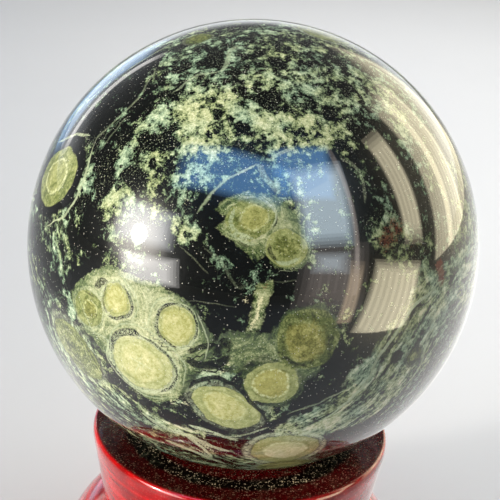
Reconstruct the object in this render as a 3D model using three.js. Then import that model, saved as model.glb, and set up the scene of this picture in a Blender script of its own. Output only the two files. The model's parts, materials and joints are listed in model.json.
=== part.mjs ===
// A polished jasper sphere resting on its turned and lacquered wooden stand.
// Millimetres, +Z up. The origin is the centre of the stand's foot, on the surface it stands on.
import * as THREE from "three";

// Driving dimensions of the stone
const SPHERE_RADIUS = 30;
const SPHERE_CENTRE_HEIGHT = 55.5;

// Driving dimensions of the stand, as radii about the axis and heights above the foot
const PLINTH_RADIUS = 27.4;
const PLINTH_HEIGHT = 3.2;
const PLINTH_ROUND = 0.6;
const BELL_RADIUS = 25.7;
const BELL_HEIGHT = 15.2;
const WAIST_RADIUS = 17.2;
const CUP_BOTTOM_RADIUS = 19.2;
const CUP_BOTTOM_HEIGHT = 16.6;
const WAIST_TOP = 15.6;
const RIM_RADIUS = 21;
const RIM_HEIGHT = 28.1;
const RIM_ROUND = 0.6;
const SEAT_RADIUS = 9;
const SEAT_GAP = 0.3;
const WELL_RADIUS = 8;
const WELL_HEIGHT = 24;
const DISH_SAG = 0.45;

// How finely the round forms are faceted
const SPHERE_DETAIL = 13;
const STAND_SEGMENTS = 64;
const CURVE_STEPS = 5;

const stone = new THREE.MeshStandardMaterial({
  color: 0x3f4d3c,
  roughness: 0.08,
  metalness: 0,
});
const lacquer = new THREE.MeshStandardMaterial({
  color: 0x6e0d0d,
  roughness: 0.15,
  metalness: 0,
});

// The height of the seat's edge, where the stone would touch it but for the gap.
function seatHeight() {
  const reach = SPHERE_RADIUS + SEAT_GAP;
  return SPHERE_CENTRE_HEIGHT - Math.sqrt(reach ** 2 - SEAT_RADIUS ** 2);
}

// The flat underside and the low plinth with its rounded edges.
function addPlinth(profile) {
  profile.moveTo(0, 0);
  profile.lineTo(PLINTH_RADIUS - PLINTH_ROUND, 0);
  profile.quadraticCurveTo(PLINTH_RADIUS, 0, PLINTH_RADIUS, PLINTH_ROUND);
  profile.lineTo(PLINTH_RADIUS, PLINTH_HEIGHT - PLINTH_ROUND);
  profile.quadraticCurveTo(
    PLINTH_RADIUS,
    PLINTH_HEIGHT,
    PLINTH_RADIUS - PLINTH_ROUND,
    PLINTH_HEIGHT,
  );
}

// The bell: a quarter of an ellipse rising from the plinth to the waist.
function addBell(profile) {
  profile.absellipse(
    WAIST_RADIUS,
    PLINTH_HEIGHT,
    BELL_RADIUS - WAIST_RADIUS,
    BELL_HEIGHT - PLINTH_HEIGHT,
    0,
    Math.PI / 2,
    false,
    0,
  );
}

// The cup from the waist: its rounded lower edge, its smooth tapered wall and its thin round rim.
function addCup(profile) {
  profile.lineTo(WAIST_RADIUS, WAIST_TOP);
  profile.quadraticCurveTo(CUP_BOTTOM_RADIUS, WAIST_TOP, CUP_BOTTOM_RADIUS, CUP_BOTTOM_HEIGHT);
  profile.lineTo(RIM_RADIUS, RIM_HEIGHT - 2 * RIM_ROUND);
  profile.quadraticCurveTo(RIM_RADIUS, RIM_HEIGHT, RIM_RADIUS - RIM_ROUND, RIM_HEIGHT);
}

// The dished top, the seat's edge that carries the stone, and the well under the stone.
function addDish(profile) {
  const seat = seatHeight();
  profile.quadraticCurveTo(
    (RIM_RADIUS + SEAT_RADIUS) / 2,
    (RIM_HEIGHT + seat) / 2 - DISH_SAG,
    SEAT_RADIUS,
    seat,
  );
  profile.lineTo(WELL_RADIUS, WELL_HEIGHT);
  profile.lineTo(0, WELL_HEIGHT);
}

function makeStand() {
  const profile = new THREE.Path();
  addPlinth(profile);
  addBell(profile);
  addCup(profile);
  addDish(profile);
  const geometry = new THREE.LatheGeometry(profile.getPoints(CURVE_STEPS), STAND_SEGMENTS);
  geometry.rotateX(Math.PI / 2);
  const mesh = new THREE.Mesh(geometry, lacquer);
  mesh.name = "stand";
  return mesh;
}

function makeSphere() {
  const geometry = new THREE.IcosahedronGeometry(SPHERE_RADIUS, SPHERE_DETAIL);
  const mesh = new THREE.Mesh(geometry, stone);
  mesh.name = "sphere";
  mesh.position.z = SPHERE_CENTRE_HEIGHT;
  return mesh;
}

const part = new THREE.Group();
part.add(makeStand(), makeSphere());

export default part;
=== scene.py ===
# A polished orbicular jasper sphere on its turned, red lacquered stand.
# Metres, +Z up, in the frame of the solids: the origin is the centre of the stand's foot.
import json
import math
from collections import namedtuple

import bpy
import numpy as np
from mathutils import Matrix, Vector

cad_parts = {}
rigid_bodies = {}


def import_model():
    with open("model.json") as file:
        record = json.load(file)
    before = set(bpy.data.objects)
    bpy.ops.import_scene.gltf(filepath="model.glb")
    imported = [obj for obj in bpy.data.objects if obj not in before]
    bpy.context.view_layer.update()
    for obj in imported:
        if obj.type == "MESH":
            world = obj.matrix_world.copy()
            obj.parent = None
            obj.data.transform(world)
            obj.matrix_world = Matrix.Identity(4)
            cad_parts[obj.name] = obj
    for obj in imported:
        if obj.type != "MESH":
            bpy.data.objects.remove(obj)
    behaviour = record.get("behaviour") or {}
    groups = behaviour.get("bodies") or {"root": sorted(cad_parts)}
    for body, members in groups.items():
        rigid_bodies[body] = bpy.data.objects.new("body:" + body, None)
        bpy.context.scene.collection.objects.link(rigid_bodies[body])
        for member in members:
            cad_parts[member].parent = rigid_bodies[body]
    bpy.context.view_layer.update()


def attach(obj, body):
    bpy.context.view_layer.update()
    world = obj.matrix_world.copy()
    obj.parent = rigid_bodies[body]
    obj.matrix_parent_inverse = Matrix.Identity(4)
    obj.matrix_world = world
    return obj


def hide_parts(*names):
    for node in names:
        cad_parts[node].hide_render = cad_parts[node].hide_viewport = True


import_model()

# Sizes in metres, the same as the solids
MM = 0.001
SPHERE_RADIUS = 30 * MM
SPHERE_CENTRE = Vector((0, 0, 55.5 * MM))
PLINTH_RADIUS = 27.4 * MM
PLINTH_HEIGHT = 3.2 * MM
PLINTH_ROUND = 0.6 * MM
BELL_RADIUS = 25.7 * MM
BELL_HEIGHT = 15.2 * MM
WAIST_RADIUS = 17.2 * MM
WAIST_TOP = 15.6 * MM
CUP_BOTTOM_RADIUS = 19.2 * MM
CUP_BOTTOM_HEIGHT = 16.6 * MM
RIM_RADIUS = 21 * MM
RIM_HEIGHT = 28.1 * MM
RIM_ROUND = 0.6 * MM
SEAT_RADIUS = 9 * MM
WELL_RADIUS = 8 * MM
WELL_HEIGHT = 24 * MM
DISH_SAG = 0.45 * MM

# How finely the round forms are cut, and the angle from which an edge of the stand is kept sharp
SPHERE_CELLS = 128
STAND_SEGMENTS = 256
CURVE_STEPS = 14
SHARP_DEGREES = 35

# Half the width of the floor, and the directions away from it and toward it
FLOOR_HALF = 3.0
STRAIGHT_UP = Vector((0, 0, 1))
STRAIGHT_DOWN = Vector((0, 0, -1))

# The camera: the nearest distance that it sees, its lens, where it stands, how far it is turned, and where
# the sphere's centre falls in a 500 pixel frame
CLIP_START = 0.01
FRAME_PIXELS = 500
FOCAL_PIXELS = 1222
SENSOR_MM = 36
CAMERA_DISTANCE = 5.5 * SPHERE_RADIUS
CAMERA_ELEVATION = math.radians(22.3)
CAMERA_ROLL = math.radians(4)
SPHERE_PIXEL_RIGHT = 3
SPHERE_PIXEL_UP = 5


def camera_axes():
    """The camera's right, up and back directions while it looks straight at the sphere's centre."""
    level_right = Vector((1, 0, 0))
    level_up = Vector((0, math.sin(CAMERA_ELEVATION), math.cos(CAMERA_ELEVATION)))
    back = Vector((0, -math.cos(CAMERA_ELEVATION), math.sin(CAMERA_ELEVATION)))
    right = level_right * math.cos(CAMERA_ROLL) + level_up * math.sin(CAMERA_ROLL)
    up = level_up * math.cos(CAMERA_ROLL) - level_right * math.sin(CAMERA_ROLL)
    return right, up, back


VIEW_RIGHT, VIEW_UP, VIEW_BACK = camera_axes()
CAMERA_PLACE = SPHERE_CENTRE + VIEW_BACK * CAMERA_DISTANCE

# The key light: where on the stone's front it is mirrored, in the degrees explained below, its distance from
# there, its radius, power and tint, and its beam's angle in degrees and softness. Then the glow round it in
# the surround: how bright it is, the cosine of the angle at which it starts, and its tint.
KEY_SPOT = (-25.5, 2.6)
KEY_DISTANCE = 1.2
KEY_RADIUS = 0.09
KEY_POWER = 69
KEY_TINT = (1, 0.95, 0.87)
KEY_BEAM = 10
KEY_BLEND = 0.6
KEY_GLOW = 14
KEY_GLOW_START = 0.915
KEY_GLOW_TINT = (1, 0.93, 0.84, 1)

# The surround: how bright it is, then the pale band low behind the object: the Y of the directions over which
# it rises, their Z over which it fades, the light that it adds below and above these, and its tint
SURROUND_LIGHT = 0.1
BAND_BEHIND = (0.1, 0.9)
BAND_HEIGHTS = (0.06, 0.3)
BAND_LIGHTS = (1.2, 0.1)
BAND_TINT = (0.94, 0.97, 1, 1)

# A box over the floor that isn't mirrored
FLOOR_BOX_PLACE = Vector((0.1, 0.25, 0.25))
FLOOR_BOX_SIZE = (0.4, 0.55)
FLOOR_BOX_RADIANCE = 2.8

# A box that is only mirrored: where on the stone's front its middle is mirrored, in the same degrees, its
# distance from there, its size in metres, its radiance and tint, the softness of its edges, from 0 to 1, how
# many degrees it is turned, and how many slats its first layer is made of
Box = namedtuple("Box", "name right up distance wide high radiance tint soft turn slats")
LAYERS = 5
LAYER_GAP = 1 * MM
SLAT_SHARE = 0.6
DEEP_BLUE = (0.2, 0.5, 1)
SKY_BLUE = (0.4, 0.66, 1)
PALE_BLUE = (0.74, 0.9, 1)
WHITE = (1, 1, 1)
COOL_WHITE = (0.9, 0.95, 1)
NEAR_WHITE = (1, 0.97, 0.93)
ROSE_GREY = (1, 0.86, 0.78)
BEIGE = (1, 0.9, 0.62)
WARM_BROWN = (1, 0.76, 0.5)
BOXES = [
    Box("blue_wide", -4.4, 15.6, 0.7, 0.6, 0.26, 9, DEEP_BLUE, 0.2, 0, 1),
    Box("blue_middle", 11, 15.8, 0.7, 0.32, 0.3, 9, DEEP_BLUE, 0.15, -14, 1),
    Box("pale_blue", 15.4, 8.7, 0.7, 0.3, 0.42, 13.5, PALE_BLUE, 0.2, -9, 1),
    Box("window_upper", -24, 4.6, 0.7, 0.36, 0.19, 10, COOL_WHITE, 0.25, 10, 1),
    Box("window_lower", -23.4, -5.5, 0.5, 0.24, 0.1, 18, NEAR_WHITE, 0.25, 10, 1),
    Box("grey_low", 17.4, -7.5, 0.22, 0.1, 0.1, 3.4, ROSE_GREY, 0.5, -14, 6),
    Box("grey_top", 16.9, -3.9, 0.7, 0.17, 0.085, 8, PALE_BLUE, 0.5, -9, 1),
    Box("stripes_warm", 21.8, -12, 0.2, 0.024, 0.1, 7, WARM_BROWN, 0.3, -16, 3),
    Box("beige_low", 32, -13.9, 0.14, 0.07, 0.085, 14, BEIGE, 0.18, -20, 7),
    Box("strip_thin", 22.7, 3, 0.7, 0.03, 0.95, 5, ROSE_GREY, 0.4, -12, 1),
    Box("strip_near", 35.2, 14.3, 0.7, 0.14, 0.48, 10.5, BEIGE, 0.2, -20, 4),
    Box("strips_far", 46.8, 16, 0.7, 0.19, 0.8, 5.6, BEIGE, 0.15, -26, 6),
    Box("strips_farther", 54.5, 11, 0.7, 0.22, 1, 5.6, BEIGE, 0.1, -24, 6),
    Box("strips_limb", 65, 8, 0.7, 0.3, 1.2, 2.4, BEIGE, 0.15, -22, 5),
    Box("limb_frame", -42, 43, 0.7, 0.05, 0.36, 3.2, NEAR_WHITE, 0.15, 44, 1),
    Box("limb_sky", -48.2, 46.5, 0.7, 0.2, 0.3, 1.5, SKY_BLUE, 0.15, 44, 3),
]

# A glow that lies on the floor and is only mirrored, as of sunlight on the table: its middle and size in
# metres, and its radiance
Glow = namedtuple("Glow", "name x y wide deep radiance")
GLOW_HEIGHT = 1 * MM
GLOW_GAP = 0.2 * MM
GLOW_SOFT = 0.3
GLOWS = [
    Glow("floor_glow_left", -0.08, -0.02, 0.07, 0.1, 0.9),
    Glow("floor_glow_right", 0.11, 0.08, 0.15, 0.16, 0.6),
]

# The stone's markings. Places are degrees of arc on the sphere, right and up from the middle of the front,
# which faces the camera, or from the middle of the back. One degree is about half a millimetre.

# An eye: its middle, half sizes and tilt, then how far its core lies from its middle, as a share of its size.
# The rest run from 0 to 1: the lightness of its body and core, how yellow the core is and its share of the
# size, and the strength of the dots on its edge, the halo and moat outside it and the bright ring in it.
Eye = namedtuple("Eye", "name right up half_x half_y tilt core_x core_y "
                        "body core yellow share dots halo moat bright")

FRONT_EYES = [
    Eye("left limb", -55, 19.3, 9.4, 8.4, 20, 0.05, 0.1, 0.48, 0.54, 0.1, 0.6, 0, 0, 1, 0.9),
    Eye("centre upper", -0.5, 5.3, 5, 4.4, 0, 0.3, 0.1, 0.46, 0.54, 0.5, 0.62, 0.2, 0, 0, 0.4),
    Eye("centre lower", 7.3, -0.8, 4.2, 4.2, 0, 0, 0.2, 0.58, 0.38, 0.2, 0.5, 0.2, 0, 0, 0),
    Eye("cluster left", -41, -15.8, 4.8, 4.6, 0, 0.3, 0, 0.5, 0.42, 0.5, 0.5, 0.1, 0.2, 0, 0.5),
    Eye("cluster top", -32, -12.8, 3.8, 4.4, -10, 0, 0, 0.66, 0.7, 0.6, 0.8, 0.4, 0.5, 0, 0),
    Eye("cluster right", -17, -18, 4.2, 4.6, 0, 0, 0, 0.68, 0.72, 0.5, 0.8, 0.3, 0.7, 0, 0),
    Eye("cluster big", -27, -28.5, 8.3, 6.6, -25, 0, 0, 0.74, 0.78, 0.4, 0.7, 0.3, 0.7, 0, 0),
    Eye("lower left pale", -48.5, -28.5, 10.5, 5.8, -48, -0.1, 0, 0.36, 0.3, 0, 0.6, 0.2, 0.3, 0, 0.3),
    Eye("bottom almond", -6.5, -39.6, 8.6, 6, -33, -0.25, 0.1, 0.66, 0.76, 0.6, 0.64, 0, 0.3, 0.4, 0.4),
    Eye("bottom centre", 4.4, -32, 6.2, 5.8, 0, 0.04, 0.06, 0.6, 0.6, 0.9, 0.68, 0, 0, 0.4, 0.8),
    Eye("right olive", 12.3, -21, 7.2, 7.6, 0, -0.14, -0.26, 0.3, 0.42, 0.9, 0.68, 0, 0, 0, 0),
    Eye("lowest", 8.8, -57, 9.8, 7.4, 0, 0, 0, 0.64, 0.86, 0.1, 0.6, 0.6, 1, 0, 1),
    Eye("right small", 42.3, -29, 2.6, 2.2, 30, 0, 0, 0.1, 0.5, 0, 0.55, 0.8, 0, 0.6, 0),
    Eye("under the stone", 10, -70, 9, 6, 0, 0, 0, 0.4, 0.5, 0.6, 0.6, 0, 0.5, 0, 0.3),
    Eye("top left faint", -16, 59, 4, 3, 0, 0, 0, 0.2, 0.26, 0.3, 0.6, 0.3, 0.2, 0, 0),
    Eye("top right", 22, 66, 9, 5, -20, 0, 0, 0.4, 0.46, 0.3, 0.6, 0.3, 0.5, 0, 0.2),
]

BACK_EYES = [
    Eye("back middle", -6, 4, 8.5, 7.5, 20, 0.1, 0, 0.55, 0.66, 0.8, 0.7, 0.4, 0.6, 0, 0.5),
    Eye("back middle right", 9, 11, 5, 4.4, 0, 0, 0.1, 0.5, 0.56, 0.7, 0.7, 0.5, 0.6, 0, 0.2),
    Eye("back low", 5, -14, 6.4, 7.6, 35, 0, 0, 0.3, 0.42, 0.8, 0.6, 0, 0, 0.6, 0.4),
    Eye("back low left", -20, -22, 7.2, 6, -20, 0.1, 0, 0.6, 0.7, 0.7, 0.7, 0.6, 0.9, 0, 0.3),
    Eye("back low far left", -33, -15, 4.2, 4.8, 0, 0, 0, 0.4, 0.44, 0.5, 0.6, 0.5, 0.3, 0, 0),
    Eye("back right", 34, -8, 9.4, 8, 55, 0.1, 0.1, 0.44, 0.56, 0.6, 0.7, 0, 0, 1, 0.5),
    Eye("back right small", 24, -24, 4, 3.6, 0, 0, 0, 0.3, 0.4, 0.6, 0.6, 0.7, 0.4, 0, 0),
    Eye("back upper left", -36, 31, 6.8, 8.2, 30, 0, 0, 0.4, 0.5, 0.6, 0.6, 0.4, 0, 0.8, 0.2),
    Eye("back upper", 2, 40, 5.5, 4.6, 0, 0, 0, 0.4, 0.5, 0.4, 0.6, 0.6, 0.5, 0, 0),
    Eye("back far right", 58, 22, 6.5, 7.6, 0, 0, 0, 0.5, 0.6, 0.7, 0.6, 0.5, 0.4, 0, 0.2),
    Eye("back far left", -61, -3, 7.4, 6.2, 70, 0, 0, 0.46, 0.6, 0.6, 0.6, 0.3, 0.7, 0, 0.4),
    Eye("back bottom", -4, -47, 7.6, 5.6, 15, 0, 0, 0.4, 0.64, 0.6, 0.6, 0.3, 0.7, 0, 0.8),
    Eye("back bottom right", 27, -46, 5.4, 6.2, 0, 0, 0, 0.3, 0.42, 0.5, 0.6, 0.6, 0.3, 0, 0),
    Eye("back top", 24, 60, 8, 5.4, 25, 0, 0, 0.4, 0.5, 0.5, 0.6, 0.2, 0, 0.6, 0.2),
]

# Strokes paint the fields of the ground. Each row is a stroke: its half width, the softness of its edge, the
# amount that it brings its field to, and its route.
FRONT_STROKES = {
    "green": [
        # The broad mottled band over the upper half, palest along its middle
        (20, 12, 0.42, [(-24, 44), (0, 48), (26, 44)]),
        (9, 6, 0.58, [(-46, 7), (-37, 15), (-28, 23), (-14, 28), (2, 30), (14, 33), (27, 35)]),
        (4, 4, 0.62, [(-26, 27), (-15, 31), (-5, 31), (4, 28)]),
        (5, 4, 0.56, [(-30, 10), (-22, 14), (-14, 12)]),
        (2.5, 2.5, 0.16, [(-39, 22), (-34, 28), (-28, 33), (-25, 40)]),
        # The granular ground between the lower eyes
        (3.6, 2, 0.66, [(-3.4, -21), (-6, -27), (-12, -31)]),
        # Black grounds
        (7, 4, 0.06, [(-18, -2), (-12, -8), (-7, -14)]),
        (3, 2, 0.06, [(-10, 9), (-9, 2), (-2, -3.5), (5, -7)]),
        (4, 2.5, 0.05, [(10, -8), (7, -13), (4.5, -18)]),
        (8, 4, 0.1, [(19, 14), (24, 6), (22, -6)]),
        (6, 3, 0.08, [(30, 24), (34, 14), (38, 6)]),
        (5, 3, 0.47, [(30, 4), (34, 1), (39, -4)]),
        (6, 3, 0.08, [(28, -9), (33, -13), (29, -21)]),
        (5, 3, 0.08, [(26, -22), (22, -30), (12, -37)]),
        (3.5, 2, 0.12, [(20, -37), (12, -43), (3, -47)]),
        (6, 3, 0.08, [(-42, 6), (-40, -1), (-42, -8)]),
        (6, 3, 0.12, [(-64, 4), (-60, -4), (-54, -8)]),
        (6.6, 1.6, -0.1, [(-52, 33), (-42.6, 35.4), (-36, 41), (-32, 52)]),
        (2.6, 1.6, 0.32, [(-49, 37), (-45, 41.6), (-41, 45.4), (-36.5, 49)]),
        (5, 3, 0.2, [(-24, -44), (-14, -47), (-4, -48)]),
        (6, 3, 0.12, [(22, -56), (30, -56), (38, -54)]),
        (1.2, 1, 0.26, [(-10, -0.6), (-6.4, -3.8), (-4.4, -7), (-1, -8.6)]),
        # The speckled green spot left of the centre's eyes
        (3.2, 0.7, 0.6, [(-14.2, 3.4), (-14.2, 4.2)]),
        # The mottled ground round the left eye
        (2.4, 2, 0.44, [(-60, 7), (-54, 6), (-44, 9)]),
    ],
    # The lower left group's ground is darker towards the right: painted shade, lighter near the key light on
    # the left
    "patch_light": [
        (4, 4, 0.05, [(-11, -13), (-9.5, -18), (-10, -25), (-14, -31)]),
        # A darker strip inside the group's left side
        (3, 3, 0.2, [(-43, -12), (-38, -21), (-34, -26)]),
    ],
    # The cream streak between the centre and the lower eyes, and small cream marks
    "cream": [
        (0.8, 0.8, 1, [(1.4, -11.6), (0.8, -14.6), (-0.4, -17.6)]),
        (0.6, 0.6, 1.3, [(-1.6, -11.8)]),
        (0.6, 0.6, 1.2, [(24.8, -34.6)]),
        (1.6, 1.4, 0.6, [(-20, -38.8), (-16.5, -38.6)]),
        (1.6, 1.4, 0.6, [(-7, -29), (-5.5, -26)]),
        (2.6, 2.4, 0.42, [(-6.4, -21), (-2, -23), (2, -22)]),
        (1.5, 1.5, 0.5, [(-14, 9.5)]),
        (3, 2.5, 0.5, [(-27, -28.5)]),
        (5, 3, 0.4, [(-52, -23), (-45, -34)]),
    ],
    "rust": [
        (2.8, 2.2, 0.85, [(33, 4.5), (30, 1)]),
        (1.8, 1.4, 1.2, [(47.5, -5), (49, -9)]),
        (0.8, 0.7, 1, [(2.3, -9)]),
        (1.8, 1.8, 0.5, [(37, 1), (42, -1)]),
        (2, 2, 0.5, [(-16, 61), (-20, 60)]),
    ],
    "dark": [
        # Round black holes in the mottled band
        (2.5, 1, 1, [(3, 34)]),
        (2.6, 1, 0.9, [(-10, 47.5)]),
        (1.7, 0.9, 0.9, [(18, 31)]),
        (1.7, 0.9, 0.8, [(23, 39.6), (24.5, 39.4)]),
        (2, 1, 0.8, [(-25, 23.6), (-19, 23.6)]),
        (1.3, 0.8, 0.9, [(-30.5, 26)]),
        (2.3, 1, 0.8, [(-28, 16), (-26, 14)]),
        (2.6, 1, 0.8, [(-35, 21), (-36, 14)]),
        (2, 1, 0.7, [(6.5, 46)]),
        (1.7, 0.8, 0.8, [(-2.5, 26)]),
        (1.8, 0.6, 0.9, [(36.2, -28)]),
        # Small black marks beside the eyes
        (1.8, 0.8, 1, [(-7.4, -22.8)]),
        (0.8, 0.5, 1, [(-36.7, -19.2), (-36, -17.8)]),
        (0.9, 0.6, 0.9, [(-19, -36.2), (-17.6, -35.6)]),
        (0.9, 0.6, 0.9, [(-15.5, -36.5), (-14, -36.2)]),
    ],
}

BACK_STROKES = {
    "green": [
        (11, 7, 0.64, [(-60, 30), (-30, 14), (-8, 22), (18, 30), (46, 34)]),
        (8, 5, 0.07, [(16, 0), (20, -12), (12, -28)]),
        (7, 4, 0.08, [(-26, 44), (-14, 52), (8, 52)]),
        (7, 4, 0.1, [(-50, -16), (-46, -32), (-30, -40)]),
        (6, 3, 0.08, [(48, 4), (50, -14), (44, -26)]),
    ],
    "dark": [
        (2.4, 0.9, 1, [(-22, 16)]),
        (1.9, 0.9, 1, [(28, 31)]),
        (2.8, 1, 0.9, [(-48, 26)]),
    ],
    "rust": [(2.4, 2, 0.7, [(17, -6)])],
    "cream": [(1.2, 1, 0.9, [(14, -22), (17, -27)])],
}

# Flows are broad bands of fine pale lines. Each row is a flow: its half width, how pale it is, and its route.
FRONT_FLOWS = [
    (10, 0.62, [(130, 10), (108, 2), (86, -4), (66, -9), (56, -12), (47, -17), (40.5, -25), (35.5, -33),
                (28.5, -40), (20, -45), (10, -48)]),
    (10, 0.36, [(92, -24), (74, -25), (62, -32), (52, -42), (40, -52)]),
    (2.6, 0.42, [(-54, 6), (-50.5, -1), (-49, -10)]),
    (6, 0.4, [(-72, -6), (-62, -18), (-60, -30), (-52, -44)]),
    (7, 0.44, [(-60, -22), (-52, -35), (-43, -43), (-30, -50)]),
    (4.5, 0.6, [(-40, -37), (-34, -44), (-26, -49), (-14, -51)]),
    (6, 0.34, [(-34, -56), (-24, -56), (-12, -56), (-4, -62), (8, -66)]),
    (4, 0.3, [(-70, 20), (-62, 36), (-50, 46), (-38, 56)]),
]

BACK_FLOWS = [
    (9, 0.5, [(-30, -38), (-12, -34), (10, -38), (34, -34), (52, -40)]),
    (5, 0.45, [(60, -8), (52, 10), (56, 34), (44, 50)]),
]

# Patches of pale green ground round groups of eyes. Each row is a patch: how light it is, and its outline.
FRONT_PATCHES = [
    (0.42, [(-47, -13), (-44, -9.5), (-38, -6), (-33, -4.5), (-25, -7.5), (-17, -10.5), (-12, -14.5),
            (-9, -19.5), (-9, -25), (-13, -30), (-15, -35), (-19, -38.5), (-25, -39.5), (-31, -36),
            (-36, -29), (-41, -23.5), (-45.5, -19)]),
    (0.3, [(-8.2, 8), (-6, 10), (-1, 11.3), (5, 10.5), (9, 7), (11, 3), (11.8, -1), (10.8, -4.5), (7, -5.6),
           (4, -4), (3, -1.8), (0, -3.4), (-3, -1), (-6, 2), (-7.4, 4), (-5, 6.4)]),
    (0.44, [(0.8, -8.6), (-0.4, -12.5), (-1, -16), (-1.4, -18.4), (1.6, -18.4), (2.4, -15), (3.2, -12),
            (4, -10), (3.8, -8)]),
    (0.1, [(-2.6, -29.4), (-6.6, -28.6), (-9, -24), (-8.4, -20.4), (-5, -18.4), (1, -19), (4.4, -19.4),
           (6.4, -15), (9.4, -13), (15, -12.6), (19, -16), (19.4, -20), (16.4, -25), (15.4, -29),
           (12.5, -31.5), (12, -35), (8, -38.6), (3.6, -38.6), (-0.6, -36), (-2.6, -32.4)]),
]

BACK_PATCHES = [
    (0.4, [(-18, 2), (-14, 12), (-4, 14), (6, 18), (15, 16), (16, 8), (8, 3), (4, -5), (-8, -7), (-16, -5)]),
    (0.3, [(-39, -16), (-35, -9), (-27, -11), (-19, -13), (-11, -18), (-11, -27), (-20, -30), (-30, -26),
           (-36, -22)]),
]

# Each row is a vein: its full width, its strength, how far it is broken into dots, and its route.
FRONT_PALE_VEINS = [
    (0.6, 0.32, 0.5, [(-41, 25), (-39.8, 27.6), (-36.6, 30), (-33.6, 32.4), (-30.6, 35.6), (-28.2, 39),
                      (-27, 43), (-26, 48)]),
    (0.6, 0.7, 0.1, [(-58, 5), (-50, 6.4), (-47.5, 9), (-44.5, 12), (-42.2, 16), (-41.4, 21), (-41, 25)]),
    (0.4, 0.3, 0.6, [(-38, 23), (-35.4, 27), (-31, 32)]),
    (0.9, 0.8, 0.75, [(-59, 31), (-52, 30.8), (-47, 29.8), (-42.5, 28.5)]),
    (0.5, 0.8, 0.3, [(-12, 7), (-8, 12), (-4, 15), (0.5, 17.4)]),
    (1.1, 0.5, 0.6, [(0.5, 17.4), (2.5, 14.4), (6, 11)]),
    (0.9, 0.6, 0.5, [(3.5, 18.5), (6, 20), (9.5, 21.6)]),
    (0.7, 0.4, 0.8, [(19.5, 20), (23, 18), (24.6, 14), (25, 9)]),
    (0.3, 0.25, 0.6, [(-16, -0.3), (-12, -3.5), (-9.5, -6)]),
    (0.25, 0.2, 0.6, [(-14, -12.3), (-4, -13.4)]),
    (0.25, 0.2, 0.6, [(4, -8), (9.5, -7.3)]),
    (0.5, 0.2, 0.7, [(-10.2, -0.6), (-6.6, -3.6), (-4.4, -7), (-2.8, -9), (-0.6, -8.2)]),
    (1, 0.9, 0.3, [(50, -9), (45, -11.5), (40, -14.8), (36, -19.5), (33, -24), (30, -28), (28.5, -33),
                   (26.5, -36), (22, -41), (17, -45.5)]),
    (0.5, 0.6, 0.4, [(8.5, -41.4), (14, -39.5), (18, -37.6), (22.5, -35.4)]),
    (0.7, 0.7, 0.5, [(-13, -49.4), (-6, -49.8), (0, -48.2), (4, -45.5)]),
    (0.6, 0.6, 0.3, [(4.5, -46.8), (10, -47.4), (15, -49.4), (19, -54)]),
    # Flames of pale stone low on the front
    (1.6, 0.9, 0.5, [(-30.4, -44.9), (-23.8, -49.5), (-16.9, -51.2), (-10.5, -55.9), (-5.8, -57.4)]),
    (1.6, 0.9, 0.5, [(-25.3, -56.1), (-16.8, -60.1), (-8.6, -67.1)]),
    (1.2, 0.9, 0.5, [(-16.3, -46.8), (-9.9, -49), (-3.9, -51.6)]),
    (1.2, 0.9, 0.5, [(-19.8, -48.4), (-14.7, -55.7), (-12.1, -62.8)]),
    (0.9, 0.5, 0.3, [(47.5, -17), (46.3, -25), (45.6, -33), (43.5, -40)]),
    (0.8, 0.4, 0.5, [(-37, 50), (-31, 54), (-24, 59)]),
    (0.7, 0.5, 0.6, [(-20, 37), (-16, 40.4), (-12, 42), (-8, 42.6)]),
    (1.2, 0.6, 0.5, [(-8, 42.6), (-6.4, 46), (-6.2, 50), (-3.6, 53.5)]),
    # Thin pale lines round the eyes of the lower left group
    (0.4, 0.6, 0.3, [(-17, -11.4), (-21.4, -12.6), (-23.8, -17), (-22.6, -22)]),
    (0.4, 0.6, 0.3, [(-36, -28), (-34.4, -21.6), (-29, -18.4), (-21.6, -20.4), (-16, -27), (-16.4, -34)]),
    (0.4, 0.5, 0.3, [(-31, -6.6), (-27.4, -9.6), (-26.4, -14), (-29, -18)]),
    (0.4, 0.5, 0.2, [(-44, -12), (-40.6, -21), (-36, -23), (-37, -29), (-32, -35), (-25, -38.4), (-19, -37)]),
    (0.35, 0.5, 0.2, [(-12, -15), (-10.4, -20), (-11, -26)]),
    # Bright arcs in the centre's eyes
    (0.9, 0.8, 0.6, [(-3.8, 7.8), (-4.4, 5), (-3, 2.4), (0, 1.2)]),
    (0.5, 0.6, 0.6, [(-4.6, 2.4), (-2.6, 0.6), (0.6, -0.4)]),
    (0.9, 0.9, 0.5, [(4.8, -3.2), (7, -4), (9.4, -3)]),
    (0.4, 0.6, 0.2, [(4, 7.6), (4.8, 5.6), (3.6, 3.4)]),
    # Cracks across the biggest eye
    (0.3, 0.5, 0.4, [(-30, -27), (-27, -28.6), (-23.6, -30.4)]),
    (0.3, 0.5, 0.4, [(-26, -26), (-27.4, -29), (-28.6, -31.6)]),
]

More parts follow.
